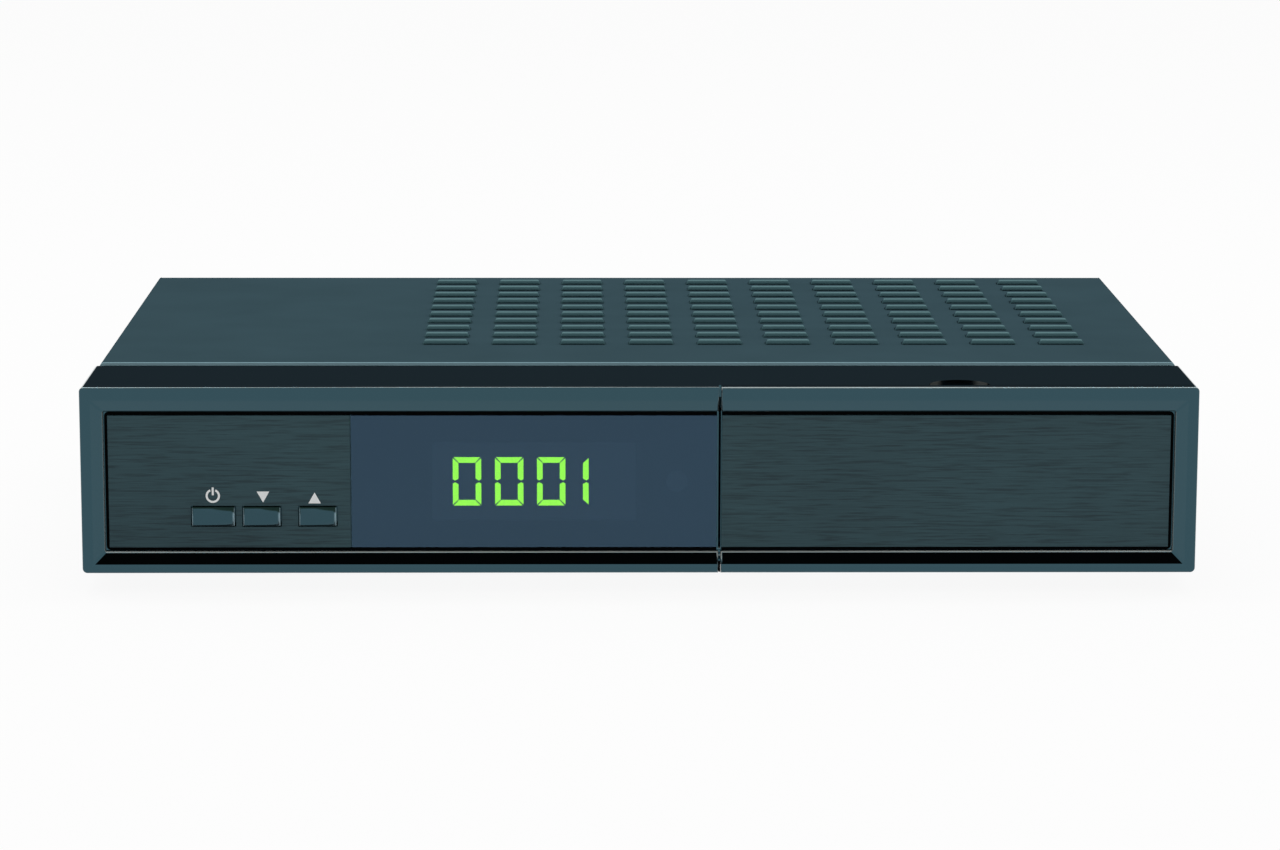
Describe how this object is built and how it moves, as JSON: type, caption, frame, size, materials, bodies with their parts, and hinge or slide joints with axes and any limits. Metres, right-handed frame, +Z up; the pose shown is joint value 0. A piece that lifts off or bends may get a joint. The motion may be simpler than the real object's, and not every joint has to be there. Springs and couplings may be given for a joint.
{
  "type": "satellite television receiver",
  "caption": "Low black set-top box: glossy front frame with a digit display and keys, brushed panels, a flip-down flap, a louvred steel cover and rear sockets.",
  "frame": {"origin": "on the table under the middle of the box round the whole object", "axes": "+X to the viewer's right along the front, +Y from the front to the rear sockets, +Z up"},
  "size_m": [0.28, 0.196, 0.0545],
  "materials": {
    "black_steel": "fine textured black powder coat",
    "bare_steel": "bright zinc plated sheet",
    "gloss_black": "polished black ABS",
    "brushed_black": "fine horizontal brushing, black anodised",
    "smoked_window": "smoked polycarbonate",
    "key_black": "polished black ABS",
    "black_plastic": "moulded black plastic",
    "rubber_black": "soft black rubber",
    "board_green": "solder mask on glass epoxy",
    "nickel": "nickel plate",
    "tin_shell": "tinned steel",
    "screw_steel": "blackened steel",
    "capacitor_sleeve": "shrink sleeve",
    "sink_aluminium": "extruded, natural",
    "ferrite": "sintered ferrite",
    "winding_tape": "yellow tape over copper",
    "chip_black": "moulded epoxy",
    "film_clear": "thin polyester film",
    "lead_black": "insulated leads with plugs",
    "fuse_glass": "glass tube",
    "display_dark": "display module",
    "switch_white": "switch plunger"
  },
  "bodies": {
    "case": {"top_cover": "black_steel", "bottom_chassis": "bare_steel", "rear_panel": "black_steel", "front_bezel": "gloss_black", "fascia_panel": "brushed_black", "display_window": "smoked_window", "tact_switches": "black_plastic", "front_board": "board_green", "led_display": "display_dark", "remote_eye": "black_plastic", "front_board_screws": "bare_steel", "rubber_feet": "rubber_black", "cover_screws": "screw_steel", "rear_panel_screws": "screw_steel", "bezel_screws": "screw_steel", "main_board": "board_green", "power_board": "board_green", "card_board": "board_green", "board_standoffs": "bare_steel", "board_screws": "bare_steel", "insulating_sheet": "film_clear", "tuner_can": "tin_shell", "lnb_input_socket": "nickel", "lnb_output_socket": "nickel", "lnb_nuts": "nickel", "video_socket": "tin_shell", "network_socket": "tin_shell", "phono_sockets": "black_plastic", "tv_scart_socket": "black_plastic", "vcr_scart_socket": "black_plastic", "mains_inlet": "black_plastic", "mains_switch_frame": "black_plastic", "card_reader": "tin_shell", "data_socket": "tin_shell", "processor": "chip_black", "heat_sink": "sink_aluminium", "memory_chips": "chip_black", "main_capacitors": "capacitor_sleeve", "mains_fuse": "fuse_glass", "mains_choke": "winding_tape", "reservoir_capacitor": "capacitor_sleeve", "transformer_core": "ferrite", "transformer_winding": "winding_tape", "power_heat_sink": "sink_aluminium", "output_capacitors": "capacitor_sleeve", "power_lead": "lead_black", "front_lead": "lead_black", "card_lead": "lead_black", "mains_leads": "lead_black"},
    "door": {"front_door": "gloss_black", "door_panel": "brushed_black"},
    "power_key": {"power_button": "key_black", "power_plunger": "switch_white"},
    "channel_down_key": {"channel_down_button": "key_black", "channel_down_plunger": "switch_white"},
    "channel_up_key": {"channel_up_button": "key_black", "channel_up_plunger": "switch_white"},
    "mains_switch_rocker": {"mains_rocker": "black_plastic"}
  },
  "joints": [
    {"name": "door_hinge", "type": "hinge", "parent": "case", "child": "door", "pos_m": [0.08015, -0.0928, 0.0096], "axis": [1, 0, 0], "range_deg": [0, 90]},
    {"name": "power_key_press", "type": "slide", "parent": "case", "child": "power_key", "axis": [0, 1, 0], "range_m": [0, 0.0005], "stiffness_N_per_m": 600, "springref_m": -0.001},
    {"name": "channel_down_key_press", "type": "slide", "parent": "case", "child": "channel_down_key", "axis": [0, 1, 0], "range_m": [0, 0.0005], "stiffness_N_per_m": 600, "springref_m": -0.001},
    {"name": "channel_up_key_press", "type": "slide", "parent": "case", "child": "channel_up_key", "axis": [0, 1, 0], "range_m": [0, 0.0005], "stiffness_N_per_m": 600, "springref_m": -0.001},
    {"name": "mains_rocker_tilt", "type": "hinge", "parent": "case", "child": "mains_switch_rocker", "pos_m": [-0.09, 0.0868, 0.0302], "axis": [1, 0, 0], "range_deg": [-20, 0]}
  ]
}
